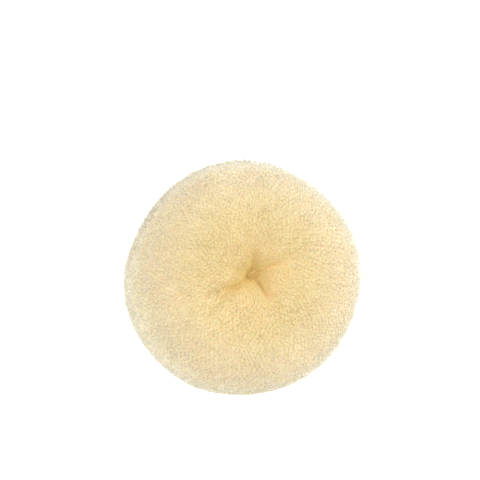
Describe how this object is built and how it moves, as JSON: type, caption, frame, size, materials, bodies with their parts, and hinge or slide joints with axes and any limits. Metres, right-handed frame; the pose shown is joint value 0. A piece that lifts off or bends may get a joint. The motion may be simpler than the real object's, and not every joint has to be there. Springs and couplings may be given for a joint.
{
  "type": "hair donut bun maker",
  "caption": "Soft ring of springy knitted net, rolled thick around a small puckered hole that a ponytail passes through, to shape and pad a hair bun.",
  "frame": {"origin": "middle of the ring's bounding box, on the surface that it rests on", "axes": "+Z along the hole, away from the surface; +X along the ring's longest width, towards the short fold; +Y completes the frame"},
  "size_m": [0.09, 0.0876, 0.0411],
  "materials": {
    "net": "fluffy crimped nylon net, pale blonde, slightly translucent"
  },
  "bodies": {
    "root": {"rolled_mesh": "net"}
  },
  "joints": []
}
